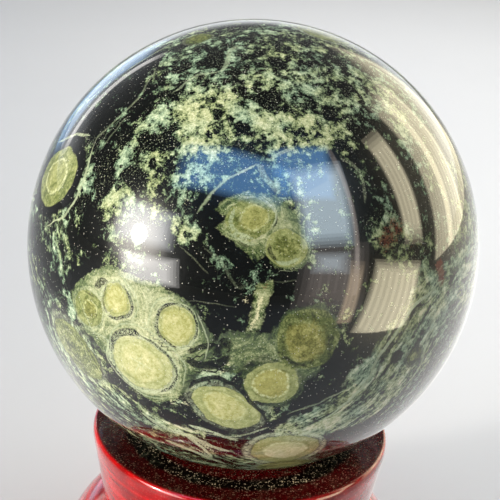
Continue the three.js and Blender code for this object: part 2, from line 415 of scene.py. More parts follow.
FRONT_BLACK_VEINS = [
    (1.3, 1, 0.2, [(-15, -34.5), (-12.6, -31.5), (-8, -30.3), (-3.4, -33), (0, -38), (3.4, -43.6)]),
    (2.2, 1, 0.2, [(-15.6, -26.2), (-12, -27.2), (-8, -26.8), (-5, -25)]),
    (1.8, 1, 0.3, [(-15, -24), (-11, -22.3), (-7, -22.8)]),
    (4, 1, 0.3, [(-9, -23.4), (-5, -21.6)]),
    (1.8, 0.9, 0.5, [(-37.6, -10.6), (-36.4, -8.8), (-33.8, -8.8)]),
    (0.5, 0.7, 0.4, [(-41, -11.6), (-38, -12.6)]),
    (1.8, 0.8, 0.4, [(-47, -19), (-41, -24.4), (-36, -31), (-31, -37), (-26, -40.4), (-18, -40.8),
                     (-14, -44)]),
    (0.4, 0.7, 0.2, [(-43, -27), (-41.6, -31), (-37.6, -36.4)]),
    (0.5, 0.6, 0.3, [(-54, -24), (-48, -34), (-40, -41), (-30, -46.4)]),
    (1, 0.9, 0.4, [(-1.8, -27.6), (0.6, -26)]),
    (0.8, 0.8, 0.6, [(-3.4, 0.2), (-0.8, -0.6)]),
    (0.4, 0.9, 0.2, [(4.6, 6.6), (5, 5), (4, 3.2)]),
    (1, 0.9, 0.5, [(3.9, 0.1), (3.9, -1.6), (5, -3)]),
    (0.8, 0.9, 0.5, [(6.8, -24.4), (9, -26.6), (12.6, -28)]),
    (2.2, 0.8, 0.4, [(-14, -45), (-6, -47.8), (1, -46)]),
    # Dotted rims of the lower left group's eyes and of the speckled spot
    (1.7, 1, 0.75, [(-36, -26.4), (-34, -22.6), (-30, -20.6), (-26, -20.8)]),
    (0.7, 1, 0.7, [(-26, -20.8), (-22, -22.8), (-18.8, -27), (-17.8, -31)]),
    (0.8, 1, 0.75, [(-17.8, -31), (-19.4, -34.4), (-23, -36)]),
    (1, 1, 0.7, [(-16.4, -13), (-19.8, -14), (-21.6, -17.4), (-20.6, -21), (-17.4, -23)]),
    (0.5, 1, 0.75, [(-16.4, -13), (-13.4, -14.6), (-12.4, -18), (-13.4, -21.4)]),
    (0.8, 1, 0.7, [(-29.4, -8.8), (-28, -12.4), (-28.6, -15.8), (-31.6, -17.6), (-34.6, -17)]),
    (0.6, 0.7, 0.8, [(-34.6, -9.6), (-35.8, -13), (-34.8, -16.6)]),
    (0.6, 0.8, 0.5, [(-14.4, 8), (-11.4, 6), (-10.8, 3), (-12.4, 0.2)]),
    # The dark lines on both sides of the lower right flow's inner edge
    (0.7, 0.8, 0.3, [(47, -12.4), (41.6, -15.6), (37.8, -20), (34.8, -24.4), (31.6, -28.6), (30, -33.4),
                     (27.8, -37), (23.4, -42)]),
    (0.5, 0.6, 0.3, [(43, -20), (43.4, -27), (42, -34), (37.6, -41)]),
]

BACK_PALE_VEINS = [
    (0.8, 0.7, 0.4, [(-66, 12), (-48, 8), (-34, -2), (-22, -4)]),
    (0.5, 0.6, 0.3, [(20, 22), (28, 10), (24, 0), (28, -16)]),
    (1.1, 0.5, 0.4, [(-52, -30), (-34, -30), (-18, -34), (2, -28)]),
    (0.7, 0.6, 0.5, [(-20, 48), (-4, 56), (14, 50), (30, 46)]),
    (0.9, 0.5, 0.4, [(44, -44), (52, -26), (60, -8)]),
    (0.4, 0.6, 0.3, [(-16, 4), (-12, 13), (-2, 13.6), (4, 9)]),
]

BACK_BLACK_VEINS = [
    (1.2, 1, 0.3, [(-18, 13), (-6, 16), (4, 20), (16, 18)]),
    (1.2, 0.9, 0.4, [(-28, -30), (-18, -31.6), (-9, -28)]),
    (0.9, 0.9, 0.8, [(-14.6, 3), (-12, 10), (-5, 12.4), (1, 10)]),
    (0.8, 0.9, 0.8, [(-26, -18), (-20, -15.4), (-13.6, -17.6)]),
]

# Degrees: a distance past every marking, and how far outside a vein its manner begins to fade
FAR = 30.0
VEIN_REACH = 1.2

# How green the ground is where nothing is laid, with the seed, wavelength and size of its ripples, and how
# places wander: two seeds, a wavelength and a reach. Wavelengths and reaches are in degrees.
GROUND_GREEN = 0.4
GROUND_RIPPLES = [(11, 34, 0.1), (12, 15, 0.06)]
WANDERS = [((21, 22), 9, 0.28), ((23, 24), 3.4, 0.12)]


def unit(vector):
    """The vector as a numpy unit vector."""
    return np.array(vector, float) / np.linalg.norm(vector)


def chart(normals, right, up, middle):
    """The sphere flattened round a middle direction: degrees of arc right and up, for unit normals."""
    across = normals @ right
    above = normals @ up
    arc = np.degrees(np.arccos(np.clip(normals @ middle, -1, 1)))
    flat = np.maximum(np.hypot(across, above), 1e-9)
    return np.stack([arc * across / flat, arc * above / flat], -1)


def ripple(normals, seed, wavelength, waves=12):
    """Smooth noise of about -1 to 1 over the sphere, its wavelength in degrees."""
    draw = np.random.default_rng(seed)
    total = np.zeros(len(normals))
    for _ in range(waves):
        direction = unit(draw.normal(size=3))
        phase = draw.uniform(0, 2 * math.pi)
        total += np.sin(normals @ direction * 2 * math.pi / math.radians(wavelength) + phase)
    return total / math.sqrt(waves)


def ease(value, start, end):
    """A smooth step from 0 at start to 1 at end."""
    share = np.clip((value - start) / (end - start), 0, 1)
    return share * share * (3 - 2 * share)


def tapered(along, thinnest, share):
    """1 along the middle of a route, easing to the thinnest over a share of it at both ends."""
    return thinnest + (1 - thinnest) * ease(along, 0, share) * ease(along, 1, 1 - share)


def rounded(route, steps=4):
    """The route with more points, on a smooth curve through the ones given."""
    points = np.array([route[0], *route, route[-1]], float)
    smooth = []
    for before, start, end, after in zip(points, points[1:], points[2:], points[3:]):
        for share in np.arange(steps) / steps:
            bend = (end - before) * share + (2 * before - 5 * start + 4 * end - after) * share ** 2
            smooth.append(start + 0.5 * (bend + (3 * start - before - 3 * end + after) * share ** 3))
    return [tuple(point) for point in smooth] + [tuple(route[-1])]


def route_distance(places, route):
    """The signed distance of each place from a route's nearest stretch, and the share along the route."""
    if len(route) == 1:
        away = np.hypot(*(places - np.array(route[0])).T)
        return away, np.full(len(places), 0.5)
    nearest = np.full(len(places), np.inf)
    signed = np.zeros(len(places))
    along = np.zeros(len(places))
    for index, (start, end) in enumerate(zip(route, route[1:])):
        start = np.array(start, float)
        stretch = np.array(end, float) - start
        offset = places - start
        share = np.clip(offset @ stretch / (stretch @ stretch), 0, 1)
        gap = offset - share[:, None] * stretch
        away = np.hypot(gap[:, 0], gap[:, 1])
        side = np.sign(stretch[0] * offset[:, 1] - stretch[1] * offset[:, 0])
        closer = away < nearest
        nearest[closer] = away[closer]
        signed[closer] = (away * side)[closer]
        along[closer] = (index + share[closer]) / (len(route) - 1)
    return signed, along


def inside_outline(places, outline):
    """The signed distance to a closed outline, positive inside it."""
    signed, _ = route_distance(places, outline + outline[:1])
    inside = np.zeros(len(places), bool)
    for (x0, y0), (x1, y1) in zip(outline, outline[1:] + outline[:1]):
        crosses = (y0 > places[:, 1]) != (y1 > places[:, 1])
        if y0 != y1:
            meeting = x0 + (places[:, 1] - y0) * (x1 - x0) / (y1 - y0)
            inside ^= crosses & (places[:, 0] < meeting)
    return np.where(inside, 1, -1) * np.abs(signed)


def paint_ground(fields, places, strokes, flows, patches):
    """Lays the flows and the patches in the fields, then paints the strokes over them, one after another."""
    for half_width, pale, route in flows:
        across, along = route_distance(places, rounded(route))
        depth = half_width * tapered(along, 0.5, 0.25) - np.abs(across)
        deeper = depth > fields["flow_depth"]
        fields["flow_depth"][deeper] = depth[deeper]
        fields["flow_across"][deeper] = across[deeper]
        fields["flow_pale"][deeper] = pale
    for light, outline in patches:
        depth = inside_outline(places, outline)
        deeper = depth > fields["patch_depth"]
        fields["patch_depth"][deeper] = depth[deeper]
        fields["patch_light"][deeper] = light
    for name, rows in strokes.items():
        for half_width, soft, amount, route in rows:
            away, _ = route_distance(places, route)
            weight = ease(np.abs(away), half_width + soft, half_width - soft)
            fields[name] += (amount - fields[name]) * weight


def add_eyes(fields, places, eyes):
    """Gives each place the manner of its nearest eye, and how far out from that eye the place lies."""
    for eye in eyes:
        turn = math.radians(eye.tilt)
        offset = places - np.array([eye.right, eye.up])
        x = (offset[:, 0] * math.cos(turn) + offset[:, 1] * math.sin(turn)) / eye.half_x
        y = (offset[:, 1] * math.cos(turn) - offset[:, 0] * math.sin(turn)) / eye.half_y
        pull = np.clip(1 - np.hypot(x, y), 0, 1)
        span = np.hypot(x - eye.core_x * pull, y - eye.core_y * pull)
        size = (eye.half_x + eye.half_y) / 2
        fields["eye_arc"] = np.minimum(fields["eye_arc"], (span - 1) * size)
        closer = span < fields["eye_span"]
        fields["eye_span"][closer] = span[closer]
        fields["eye_tone"][closer] = (eye.body, eye.core, eye.yellow)
        fields["eye_edge"][closer] = (eye.dots, eye.halo, eye.moat)
        fields["eye_core"][closer] = (eye.share, eye.bright, 1 / size)


def add_veins(fields, places, veins, kind):
    """Gives each place its signed distance to the nearest vein, and that vein's width, strength and gaps."""
    for width, strength, broken, route in veins:
        signed, along = route_distance(places, rounded(route))
        away = np.abs(signed)
        reach = ease(away, width / 2 + 2 * VEIN_REACH, width / 2 + VEIN_REACH)
        widths = width * tapered(along, 0.35, 0.2)
        strengths = strength * reach * tapered(along, 0, 0.02)
        closer = away < np.abs(fields[kind + "_distance"])
        fields[kind + "_distance"][closer] = signed[closer]
        manner = np.stack([widths, strengths, np.full(len(away), broken)], -1)
        fields[kind + "_manner"][closer] = manner[closer]


def blank_fields(normals):
    """The fields before any marking is laid on them."""
    count = len(normals)
    ripples = sum(size * ripple(normals, seed, wavelength) for seed, wavelength, size in GROUND_RIPPLES)
    fields = {"green": GROUND_GREEN + ripples}
    for name in ("dark", "rust", "cream", "flow_across", "flow_pale", "patch_light"):
        fields[name] = np.zeros(count)
    for name in ("flow_depth", "patch_depth"):
        fields[name] = np.full(count, -FAR)
    for name in ("eye_span", "eye_arc", "pale_distance", "black_distance"):
        fields[name] = np.full(count, FAR)
    for name in ("eye_tone", "eye_edge", "eye_core", "pale_manner", "black_manner"):
        fields[name] = np.zeros((count, 3))
    return fields


def marking_fields(normals):
    """Every field of the stone's markings, for the unit normals of its points."""
    fields = blank_fields(normals)
    right, up, back = unit(VIEW_RIGHT), unit(VIEW_UP), unit(VIEW_BACK)
    wander = sum(np.stack([ripple(normals, seed, wavelength) for seed in seeds], -1) * reach
                 for seeds, wavelength, reach in WANDERS)
    front = chart(normals, right, up, back) + wander
    rear = chart(normals, -right, up, -back) + wander
    paint_ground(fields, front, FRONT_STROKES, FRONT_FLOWS, FRONT_PATCHES)
    paint_ground(fields, rear, BACK_STROKES, BACK_FLOWS, BACK_PATCHES)
    add_eyes(fields, front, FRONT_EYES)
    add_eyes(fields, rear, BACK_EYES)
    add_veins(fields, front, FRONT_PALE_VEINS, "pale")
    add_veins(fields, rear, BACK_PALE_VEINS, "pale")
    add_veins(fields, front, FRONT_BLACK_VEINS, "black")
    add_veins(fields, rear, BACK_BLACK_VEINS, "black")
    return fields


def sphere_points():
    """An even ball of four-sided faces, as unit points and faces: a cube's six grids bent to a ball."""
    steps = np.tan(np.linspace(-math.pi / 4, math.pi / 4, SPHERE_CELLS + 1))
    u, v = (grid.ravel() for grid in np.meshgrid(steps, steps, indexing="ij"))
    ones = np.ones_like(u)
    sides = [(ones, u, v), (-ones, v, u), (v, ones, u), (u, -ones, v), (u, v, ones), (v, u, -ones)]
    row = SPHERE_CELLS + 1
    corner = np.arange(row * row).reshape(row, row)
    cells = np.stack([corner[:-1, :-1], corner[1:, :-1], corner[1:, 1:], corner[:-1, 1:]], -1).reshape(-1, 4)
    points = np.concatenate([np.stack(side, -1) for side in sides])
    faces = np.concatenate([cells + index * row * row for index in range(len(sides))])
    points /= np.linalg.norm(points, axis=1)[:, None]
    _, first, merged = np.unique(np.round(points, 6), axis=0, return_index=True, return_inverse=True)
    return points[first], merged.ravel()[faces]


def add_object(name, data):
    """A new object in the scene, made of its data."""
    thing = bpy.data.objects.new(name, data)
    bpy.context.scene.collection.objects.link(thing)
    return thing


def make_mesh(name, points, faces):
    """A smooth-shaded object from points in metres and faces."""
    mesh = bpy.data.meshes.new(name)
    mesh.from_pydata(points, [], faces)
    mesh.shade_smooth()
    mesh.update()
    return add_object(name, mesh)


def store_field(mesh, name, values):
    """Keeps a field on the mesh's points, as numbers or as vectors."""
    kind, key = ("FLOAT", "value") if values.ndim == 1 else ("FLOAT_VECTOR", "vector")
    attribute = mesh.attributes.new(name, kind, "POINT")
    attribute.data.foreach_set(key, values.astype(np.float32).ravel())


def make_stone():
    """The polished sphere, with its markings kept as fields on its points."""
    normals, faces = sphere_points()
    points = normals * SPHERE_RADIUS + np.array(SPHERE_CENTRE)
    piece = make_mesh("jasper_sphere", points.tolist(), faces.tolist())
    for name, values in marking_fields(normals).items():
        store_field(piece.data, name, values)
    return piece


def curve(start, control, end):
    """Points along a quadratic curve, without its start."""
    shares = np.linspace(0, 1, CURVE_STEPS + 1)[1:, None]
    start, control, end = (np.array(point) for point in (start, control, end))
    return (1 - shares) ** 2 * start + 2 * shares * (1 - shares) * control + shares ** 2 * end


def stand_outline():
    """The stand's half section, as radius and height, from the underside's middle to the well's middle."""
    seat = SPHERE_CENTRE.z - math.sqrt(SPHERE_RADIUS ** 2 - SEAT_RADIUS ** 2)
    inner = PLINTH_RADIUS - PLINTH_ROUND
    points = [(0, 0), (inner / 2, 0), (inner, 0)]
    points += list(curve((inner, 0), (PLINTH_RADIUS, 0), (PLINTH_RADIUS, PLINTH_ROUND)))
    points += list(curve((PLINTH_RADIUS, PLINTH_HEIGHT - PLINTH_ROUND), (PLINTH_RADIUS, PLINTH_HEIGHT),
                         (inner, PLINTH_HEIGHT)))
    for turn in np.linspace(0, math.pi / 2, 3 * CURVE_STEPS):
        radius = WAIST_RADIUS + (BELL_RADIUS - WAIST_RADIUS) * math.cos(turn)
        height = PLINTH_HEIGHT + (BELL_HEIGHT - PLINTH_HEIGHT) * math.sin(turn)
        points.append((radius, height))
    points.append((WAIST_RADIUS, WAIST_TOP))
    points += list(curve(points[-1], (CUP_BOTTOM_RADIUS, WAIST_TOP), (CUP_BOTTOM_RADIUS, CUP_BOTTOM_HEIGHT)))
    wall_top = RIM_HEIGHT - 2 * RIM_ROUND
    for share in np.linspace(0, 1, CURVE_STEPS)[1:]:
        radius = CUP_BOTTOM_RADIUS + share * (RIM_RADIUS - CUP_BOTTOM_RADIUS)
        points.append((radius, CUP_BOTTOM_HEIGHT + share * (wall_top - CUP_BOTTOM_HEIGHT)))
    points += list(curve(points[-1], (RIM_RADIUS, RIM_HEIGHT), (RIM_RADIUS - RIM_ROUND, RIM_HEIGHT)))
    middle = ((RIM_RADIUS + SEAT_RADIUS) / 2, (RIM_HEIGHT + seat) / 2 - DISH_SAG)
    points += list(curve(points[-1], middle, (SEAT_RADIUS, seat)))
    points += [(WELL_RADIUS, WELL_HEIGHT), (WELL_RADIUS / 2, WELL_HEIGHT), (0, WELL_HEIGHT)]
    return points


def turned_points(outline):
    """The outline turned about the Z axis, as points and faces, closed at both ends on the axis."""
    turns = np.arange(STAND_SEGMENTS) * 2 * math.pi / STAND_SEGMENTS
    points = [(0, 0, outline[0][1])]
    for radius, height in outline[1:-1]:
        points += [(radius * math.cos(turn), radius * math.sin(turn), height) for turn in turns]
    points.append((0, 0, outline[-1][1]))
    faces = []
    rings = len(outline) - 2
    for segment in range(STAND_SEGMENTS):
        following = (segment + 1) % STAND_SEGMENTS
        faces.append((0, 1 + following, 1 + segment))
        for ring in range(rings - 1):
            low = 1 + ring * STAND_SEGMENTS
            high = low + STAND_SEGMENTS
            faces.append((low + segment, low + following, high + following, high + segment))
        last = 1 + (rings - 1) * STAND_SEGMENTS
        faces.append((last + segment, last + following, len(points) - 1))
    return points, faces


def make_stand():
    """The turned stand, with its sharp turned corners kept crisp."""
    points, faces = turned_points(stand_outline())
    piece = make_mesh("lacquered_stand", points, faces)
    piece.data.set_sharp_from_angle(angle=math.radians(SHARP_DEGREES))
    return piece


def colour(red, green, blue):
    """A colour given as screen values from 0 to 255, as a shader's linear colour."""
    shares = [value / 255 for value in (red, green, blue)]
    linear = [s / 12.92 if s <= 0.04045 else ((s + 0.055) / 1.055) ** 2.4 for s in shares]
    return (*linear, 1)


BLACK = colour(7, 9, 7)
DEEP_GREEN = colour(28, 38, 28)
SHADED_GREEN = colour(74, 92, 50)
MOTTLE_STEPS = [0.3, 0.39, 0.48, 0.62, 0.84, 1.0]
MOTTLE_TOP = 0.82
MOTTLE_GREENS = [BLACK, DEEP_GREEN, colour(79, 92, 59), colour(135, 147, 102), colour(182, 189, 143),
                 colour(220, 218, 182)]
MOTTLE_BLUISH = [BLACK, DEEP_GREEN, colour(68, 88, 70), colour(116, 139, 113), colour(162, 183, 151),
                 colour(208, 217, 189)]
PATCH_STEPS = [0.0, 0.3, 0.62, 1.0]
PATCH_GREENS = [DEEP_GREEN, SHADED_GREEN, colour(150, 158, 114), colour(208, 208, 168)]
EYE_STEPS = [0.0, 0.33, 0.66, 1.0]
EYE_GREENS = [colour(34, 42, 20), colour(92, 104, 52), colour(155, 161, 104), colour(213, 212, 166)]
EYE_YELLOWS = [colour(50, 50, 18), colour(116, 116, 52), colour(172, 169, 96), colour(220, 216, 160)]
LIGHT_YELLOW_GREEN = colour(220, 224, 176)
BLUISH_GREEN = colour(158, 172, 138)
GREY_GREEN = colour(124, 138, 110)
PALE_SAGE = colour(200, 210, 172)
CREAM = colour(228, 222, 180)
RUST = colour(112, 52, 34)
SPECK = colour(215, 214, 200)
LACQUER_RED = colour(192, 5, 7)
LACQUER_DARK = colour(126, 3, 5)
# The dish's two colours are painted shade: the sphere's shadow and the dark stone mirrored in the dish
DISH_SHADED_RED = colour(88, 5, 8)
DISH_PAINTED_SHADE = colour(12, 6, 5)
DUST = colour(246, 226, 186)
FLOOR_PALE = colour(196, 197, 198)
FLOOR_SHADE = colour(190, 191, 193)

# The dish's colour, painted shade standing in for the sphere's shadow and the dark stone mirrored there, in
# millimetres: the heights over which it comes in, the radii over which it ends at the rim, and the radii of
# its ring of dust, which is also painted black as deeper shade and mirrored dark stone
DISH_HEIGHTS = (25.5, 26.4)
DISH_EDGE = (20.8, 20.3)
DUST_AND_SHADE_RING = (13.6, 16.6)


class Shade:
    """Adds nodes to a new material or world with short calls that return their outputs."""

    def __init__(self, owner):
        self.owner = owner
        self.owner.use_nodes = True
        self.tree = self.owner.node_tree
        self.tree.nodes.clear()

    def add(self, kind, inputs=None, **settings):
        node = self.tree.nodes.new(kind)
        for key, value in settings.items():
            setattr(node, key, value)
        for key, value in (inputs or {}).items():
            self.put(node.inputs[key], value)
        return node

    def put(self, socket, value):
        if isinstance(value, bpy.types.NodeSocket):
            self.tree.links.new(value, socket)
        else:
            socket.default_value = value

    def field(self, name):
        return self.add("ShaderNodeAttribute", attribute_name=name).outputs["Fac"]

    def fields(self, name):
        vector = self.add("ShaderNodeAttribute", attribute_name=name).outputs["Vector"]
        return self.split(vector)

    def millimetres(self):
        place = self.add("ShaderNodeTexCoord").outputs["Object"]
        return self.scaled(place, 1 / MM)

    def math(self, operation, first, second=0.0, third=0.0):
        inputs = {0: first, 1: second, 2: third}
        return self.add("ShaderNodeMath", inputs, operation=operation).outputs[0]

    def times(self, first, second):
        return self.math("MULTIPLY", first, second)

    def plus(self, first, second):
        return self.math("ADD", first, second)

    def centred(self, value, size):
        """A 0 to 1 value moved to run from minus to plus half the size."""
        return self.math("MULTIPLY_ADD", value, size, -size / 2)

    def lowered(self, value, share, depth):
        """The value less the depth where the share is 1."""
        return self.math("MULTIPLY_ADD", share, -depth, value)

    def ease(self, value, start, end, low=0.0, high=1.0):
        """A smooth step from low at start to high at end."""
        inputs = {"Value": value, "From Min": start, "From Max": end, "To Min": low, "To Max": high}
        return self.add("ShaderNodeMapRange", inputs, interpolation_type="SMOOTHSTEP").outputs["Result"]

    def window(self, value, start, end, soft):
        """1 between start and end, falling to 0 over soft on either side."""
        rise = self.ease(value, start - soft, start + soft)
        return self.times(rise, self.ease(value, end - soft, end + soft, 1.0, 0.0))

    def mix(self, share, first, second):
        inputs = {0: share, 6: first, 7: second}
        return self.add("ShaderNodeMix", inputs, data_type="RGBA").outputs[2]

    def ramp(self, value, steps, colours):
        """A colour that runs through the colours as the value passes the steps."""
        node = self.add("ShaderNodeValToRGB", {0: value})
        elements = node.color_ramp.elements
        while len(elements) < len(steps):
            elements.new(1.0)
        for element, step, tint in zip(elements, steps, colours):
            element.position = step
            element.color = tint
        return node.outputs["Color"]

    def noise(self, vector, scale, detail, roughness=0.5):
        """Noise from 0 to 1: how fine it is, its octaves, and how much each finer octave counts."""
        inputs = {"Vector": vector, "Scale": scale, "Detail": detail, "Roughness": roughness}
        return self.add("ShaderNodeTexNoise", inputs).outputs["Fac"]

    def vector(self, x, y, z):
        return self.add("ShaderNodeCombineXYZ", {0: x, 1: y, 2: z}).outputs[0]

    def scaled(self, vector, size):
        return self.add("ShaderNodeVectorMath", {0: vector, 3: size}, operation="SCALE").outputs["Vector"]

    def split(self, vector):
        return self.add("ShaderNodeSeparateXYZ", {0: vector}).outputs[0:3]

    def specks(self, vector, scale, radius, share):
        """Small round specks: 1 inside those of a share of the cells."""
        cells = self.add("ShaderNodeTexVoronoi", {"Vector": vector, "Scale": scale})
        kept = self.math("LESS_THAN", self.split(cells.outputs["Color"])[0], share)
        return self.times(self.ease(cells.outputs["Distance"], radius, radius * 0.5), kept)

    def finish(self, **inputs):
        """Ends the material in one glossy shader, its sockets named with underscores for spaces."""
        named = {key.replace("_", " "): value for key, value in inputs.items()}
        shader = self.add("ShaderNodeBsdfPrincipled", named)
        self.add("ShaderNodeOutputMaterial", {"Surface": shader.outputs[0]})
        return self.owner


class StoneShade(Shade):
    """The stone's material, with the noises that its layers share."""

    def __init__(self, owner):
        super().__init__(owner)
        self.place = self.millimetres()
        self.broad = self.noise(self.place, 0.44, 4, 0.6)
        self.middle = self.noise(self.place, 1.1, 3, 0.6)
        self.fine = self.noise(self.place, 2.4, 5, 0.75)
        self.grain = self.noise(self.place, 5.0, 3, 0.7)
        self.hue = self.ease(self.noise(self.place, 0.15, 3, 0.6), 0.38, 0.62)

    def stir(self, value, **sizes):
        """Adds the shared noises named to a value, each centred on zero and as wide as its size."""
        for name, size in sizes.items():
            value = self.plus(value, self.centred(getattr(self, name), size))
        return value

    def strands(self, across, fineness, stretch):
        """Noise drawn out into strands that run where the across value stays the same."""
        x, y, z = self.split(self.scaled(self.place, stretch))
        bent = self.plus(across, self.centred(self.noise(self.place, 0.35, 4, 0.6), 3.4))
        moved = self.vector(self.plus(self.times(bent, fineness), x), y, z)
        return self.noise(moved, 1.0, 5, 0.68)

    def warped(self, scale, reach):
        """The place moved about by smooth noise, by up to about half the reach."""
        node = self.add("ShaderNodeTexNoise", {"Vector": self.place, "Scale": scale, "Detail": 2.0})
        halves = {0: node.outputs["Color"], 1: (0.5, 0.5, 0.5)}
        shift = self.add("ShaderNodeVectorMath", halves, operation="SUBTRACT").outputs["Vector"]
        moved = {0: self.place, 1: self.scaled(shift, 2 * reach)}
        return self.add("ShaderNodeVectorMath", moved, operation="ADD").outputs["Vector"]

    def mottling(self, level):
        """The mottling's colour at a level, bluish in some places and yellowish in others."""
        tints = [self.ramp(level, MOTTLE_STEPS, greens) for greens in (MOTTLE_BLUISH, MOTTLE_GREENS)]
        return self.mix(self.hue, *tints)


def mottled_ground(shade):
    """Black ground crossed by granular pale green, as much of it as the green field says."""
    green = shade.field("green")
    # Where there is much green it stays at one lightness, but for its grain and its small round holes
    level = shade.math("MINIMUM", shade.stir(green, broad=1.8, middle=1.7), MOTTLE_TOP)
    holes = shade.specks(shade.warped(scale=0.9, reach=0.9), scale=0.8, radius=0.46, share=0.36)
    level = shade.lowered(level, holes, depth=0.46)
    level = shade.lowered(level, shade.field("dark"), depth=0.75)
    # The grain counts for less in the black ground, which is only sprinkled with green
    grain = shade.stir(0.0, fine=1.2, grain=0.8)
    level = shade.plus(level, shade.times(grain, shade.ease(level, 0.1, 0.4, 0.38, 1.0)))
    # Pale flecks, thickest where the green is
    flecks = shade.times(shade.ease(shade.grain, 0.58, 0.7), shade.ease(green, 0.15, 0.5))
    return shade.mix(shade.times(flecks, 0.6), shade.mottling(level), PALE_SAGE)


def flowing_ground(shade, under):
    """The mottling of the flowing bands, drawn out along them, laid over a colour."""
    strands = shade.strands(shade.field("flow_across"), fineness=0.6, stretch=0.26)
    level = shade.plus(shade.centred(strands, 2.5), shade.field("flow_pale"))
    level = shade.stir(level, fine=1.2, middle=1.3)
    level = shade.lowered(level, shade.field("dark"), depth=0.8)
    edge = shade.stir(shade.field("flow_depth"), broad=7.0)
    return shade.mix(shade.ease(edge, -0.5, 0.9), under, shade.mottling(level))


def patch_ground(shade, under):
    """The fibrous green round the groups of eyes, its strands following the eyes' edges, over a colour."""
    strands = shade.strands(shade.field("eye_arc"), fineness=1.3, stretch=0.5)
    tone = shade.stir(shade.centred(strands, 1.5), fine=1.1, grain=0.9)
    depth = shade.field("patch_depth")
    inner = shade.ease(depth, 0.0, 3.0, 0.0, 0.3)
    tone = shade.plus(tone, shade.plus(inner, shade.field("patch_light")))
    tint = shade.ramp(tone, PATCH_STEPS, PATCH_GREENS)
    tint = shade.mix(shade.times(shade.hue, 0.25), tint, GREY_GREEN)
    edge = shade.stir(depth, fine=2.6, broad=1.6)
    return shade.mix(shade.ease(edge, -0.35, 0.35), under, tint)


def eye_body(shade, span, core, bright):
    """The inside of an eye: granular green round a yellower core, with a broken bright ring between them."""
    body_light, core_light, yellow = shade.fields("eye_tone")
    rings = shade.strands(shade.times(span, 4.0), fineness=1.0, stretch=0.5)
    texture = shade.stir(shade.centred(rings, 1.1), fine=1.1, grain=0.8, middle=0.7)
    outward = shade.math("SUBTRACT", span, core)
    in_core = shade.ease(shade.stir(outward, fine=0.45, middle=0.35), 0.12, -0.12)
    light = shade.plus(body_light, shade.times(in_core, shade.math("SUBTRACT", core_light, body_light)))
    # Texture shows more in the darker eyes
    light = shade.plus(light, shade.times(texture, shade.ease(light, 0.65, 0.3, 0.55, 1.1)))
    light = shade.lowered(light, shade.window(outward, 0.02, 0.1, 0.05), depth=0.1)
    greens = shade.ramp(light, EYE_STEPS, EYE_GREENS)
    yellows = shade.ramp(light, EYE_STEPS, EYE_YELLOWS)
    tint = shade.mix(shade.times(in_core, yellow), greens, yellows)
    broken = shade.times(bright, shade.ease(shade.fine, 0.42, 0.56))
    ring = shade.times(shade.window(outward, -0.05, 0.04, 0.05), broken)
    return shade.mix(shade.times(ring, 0.8), tint, LIGHT_YELLOW_GREEN)


def eyes_over(shade, under):
    """Lays the eyes over a colour, from their outer moat and halo in to their body."""
    core, bright, smallness = shade.fields("eye_core")
    dots, halo, moat = shade.fields("eye_edge")
    waver = shade.stir(0.0, broad=1.6, fine=0.9)
    span = shade.plus(shade.field("eye_span"), shade.times(waver, smallness))
    result = shade.mix(shade.times(shade.window(span, 0.9, 1.36, 0.04), moat), under, BLACK)
    broken = shade.times(halo, shade.ease(shade.fine, 0.36, 0.56))
    halo_ring = shade.times(shade.window(span, 1.02, 1.22, 0.05), broken)
    result = shade.mix(shade.times(halo_ring, 0.75), result, PALE_SAGE)
    result = shade.mix(shade.ease(span, 1.03, 0.97), result, eye_body(shade, span, core, bright))
    dotted = shade.times(shade.ease(shade.fine, 0.5, 0.56), shade.times(dots, 1.2))
    return shade.mix(shade.times(shade.window(span, 0.99, 1.09, 0.03), dotted), result, BLACK)


def veins_over(shade, under, kind, tint):
    """Lays the pale or black veins over a colour, their edges roughened and some broken into dots."""
    width, strength, broken = shade.fields(kind + "_manner")
    away = shade.math("ABSOLUTE", shade.stir(shade.field(kind + "_distance"), fine=0.65, grain=0.2))
    inside = shade.math("SUBTRACT", shade.times(width, 0.5), away)
    gaps = shade.times(broken, shade.ease(shade.grain, 0.56, 0.44))
    unbroken = shade.times(strength, shade.math("SUBTRACT", 1.0, gaps))
    return shade.mix(shade.times(shade.ease(inside, -0.14, 0.16), unbroken), under, tint)


def spots_over(shade, under, kind, tint):
    """Lays cream or rusty spots over a colour, broken up by the grain."""
    level = shade.stir(shade.field(kind), fine=2.4, grain=1.6)
    return shade.mix(shade.ease(level, 0.6, 1.1, 0.0, 0.85), under, tint)


def specks_over(shade, under, scale, radius, share, strength):
    """Lays small pale specks over a colour."""
    specks = shade.specks(shade.place, scale, radius, share)
    return shade.mix(shade.times(specks, strength), under, SPECK)


def stone_material():
    """Polished jasper: its markings under a mirror polish."""
    shade = StoneShade(bpy.data.materials.new("jasper_polished"))
    tint = mottled_ground(shade)
    tint = flowing_ground(shade, tint)
    tint = patch_ground(shade, tint)
    tint = eyes_over(shade, tint)
    tint = spots_over(shade, tint, "cream", CREAM)
    tint = spots_over(shade, tint, "rust", RUST)
    tint = veins_over(shade, tint, "black", BLACK)
    tint = veins_over(shade, tint, "pale", shade.mix(shade.hue, BLUISH_GREEN, PALE_SAGE))
    tint = specks_over(shade, tint, scale=4.2, radius=0.3, share=0.12, strength=0.65)
    tint = specks_over(shade, tint, scale=1.3, radius=0.1, share=0.25, strength=0.95)
    polish = shade.ease(shade.noise(shade.place, 0.25, 3), 0.3, 0.7, 0.26, 0.36)
    return shade.finish(Base_Color=tint, Roughness=polish, IOR=1.54, Specular_IOR_Level=0.05, Coat_Weight=1.0,
                        Coat_IOR=1.42, Coat_Roughness=0.03)


